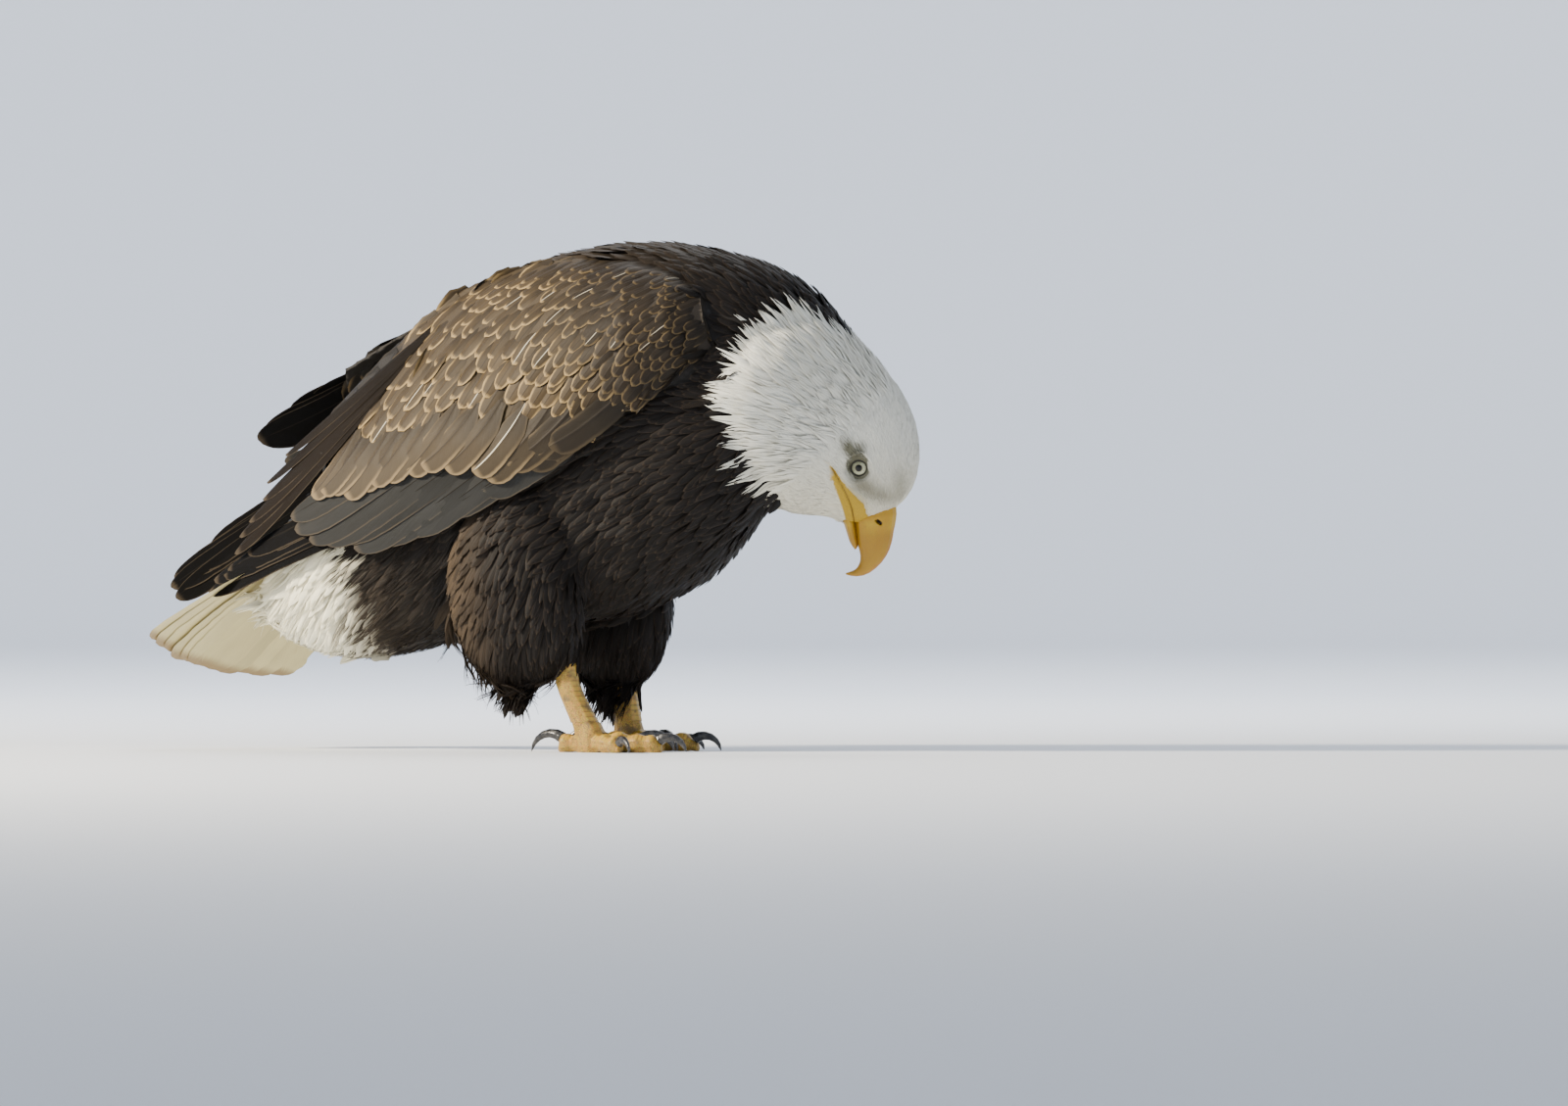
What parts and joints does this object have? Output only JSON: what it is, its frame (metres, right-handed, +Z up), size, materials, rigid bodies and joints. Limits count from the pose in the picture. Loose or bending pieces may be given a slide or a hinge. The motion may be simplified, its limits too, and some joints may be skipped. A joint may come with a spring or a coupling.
{
  "type": "bald eagle",
  "caption": "Life-size adult bald eagle standing with its head bowed, wings folded and tail lowered, as a still museum-type model.",
  "frame": {"origin": "on the floor, under the middle of the whole model's box", "axes": "+Z up; the body runs along +X, head forward; the bird's right side is -Y"},
  "size_m": [0.7104, 0.2524, 0.4525],
  "materials": {
    "white_feathers": "matte white feathers, cool in the shade, faintly cream on the throat",
    "body_feathers": "matte chocolate-black feathers with faint paler rims",
    "wing_coverts": "satin brown scale-like feathers with buff rims and paler shafts",
    "flight_feathers": "satin grey-brown to blackish vanes with fine barbs",
    "tail_feathers": "matte cream-white vanes with worn brown tips",
    "bill": "satin deep yellow horn",
    "leg_scales": "matte yellow skin with overlapping scales",
    "claws": "satin black-grey horn",
    "eyes": "clear wet gloss over a pale cream iris and a black pupil"
  },
  "bodies": {
    "root": {"neck": "white_feathers", "head": "white_feathers", "eye_right": "eyes", "eye_left": "eyes", "cere": "bill", "bill_upper": "bill", "bill_lower": "bill", "trunk": "body_feathers", "tail_coverts": "white_feathers", "tail": "tail_feathers", "wing_right_arm": "wing_coverts", "wing_right_secondaries": "flight_feathers", "wing_right_primaries": "flight_feathers", "wing_left_arm": "wing_coverts", "wing_left_secondaries": "flight_feathers", "wing_left_primaries": "flight_feathers", "thigh_right": "body_feathers", "shank_right": "leg_scales", "toe_right_3": "leg_scales", "claw_right_3": "claws", "toe_right_2": "leg_scales", "claw_right_2": "claws", "toe_right_4": "leg_scales", "claw_right_4": "claws", "toe_right_1": "leg_scales", "claw_right_1": "claws", "thigh_left": "body_feathers", "shank_left": "leg_scales", "toe_left_3": "leg_scales", "claw_left_3": "claws", "toe_left_2": "leg_scales", "claw_left_2": "claws", "toe_left_4": "leg_scales", "claw_left_4": "claws", "toe_left_1": "leg_scales", "claw_left_1": "claws"}
  },
  "joints": []
}
